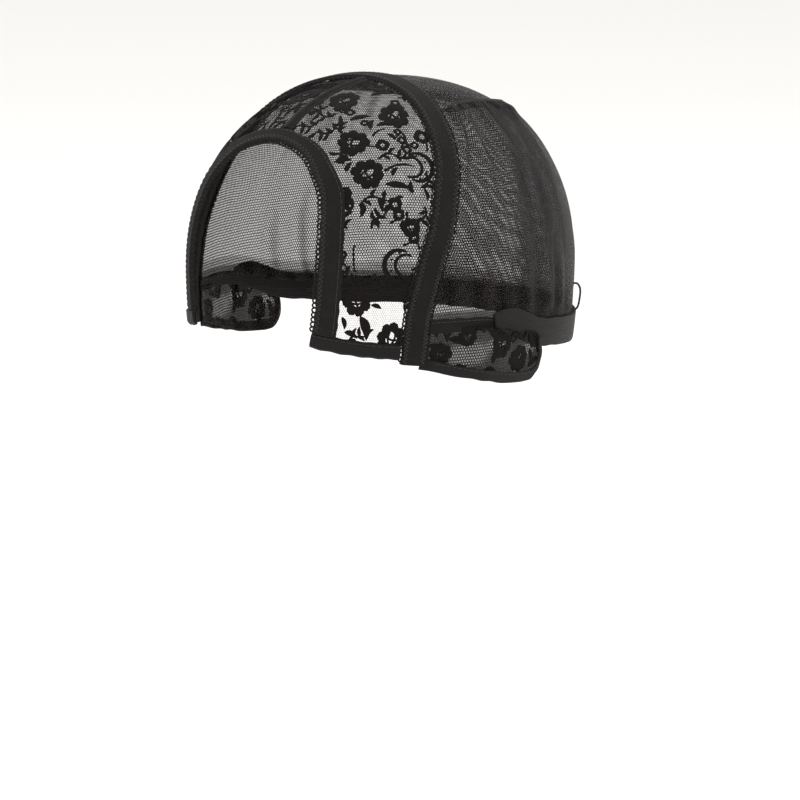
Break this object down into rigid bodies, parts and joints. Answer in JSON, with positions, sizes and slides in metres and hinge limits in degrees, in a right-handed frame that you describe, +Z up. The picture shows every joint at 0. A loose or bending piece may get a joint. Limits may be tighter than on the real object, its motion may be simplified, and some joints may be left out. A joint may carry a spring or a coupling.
{
  "type": "wig cap",
  "caption": "Black wig cap with a U-shaped forehead opening, floral lace front panels, wide elastic from ear to ear, stretch net crown, lace ear tabs and a nape strap.",
  "frame": {"origin": "the point of the head under the middle of the crown, on the mirror plane, where the cap sits", "axes": "+Z up out of the crown, -Y towards the face, +X the side that the picture shows on its right"},
  "size_m": [0.1678, 0.18, 0.1302],
  "materials": {
    "lace": "black floral lace on fine net",
    "stretch_net": "fine see-through black stretch net",
    "elastic": "matt black woven elastic",
    "clasp": "plain black"
  },
  "bodies": {
    "root": {"opening_binding": "elastic", "lace_front_right": "lace", "lace_front_left": "lace", "centre_seam_tape": "elastic", "ear_to_ear_band": "elastic", "crown_top_net": "stretch_net", "crown_back_net": "stretch_net", "nape_band": "elastic", "hairline_binding_right": "elastic", "hairline_binding_left": "elastic", "ear_tab_lace_right": "lace", "ear_tab_lace_left": "lace", "ear_tab_binding_right": "elastic", "ear_tab_binding_left": "elastic", "nape_strap_right": "elastic", "nape_strap_left": "elastic", "nape_clasp": "clasp", "nape_loop_right": "elastic", "nape_loop_left": "elastic"}
  },
  "joints": []
}
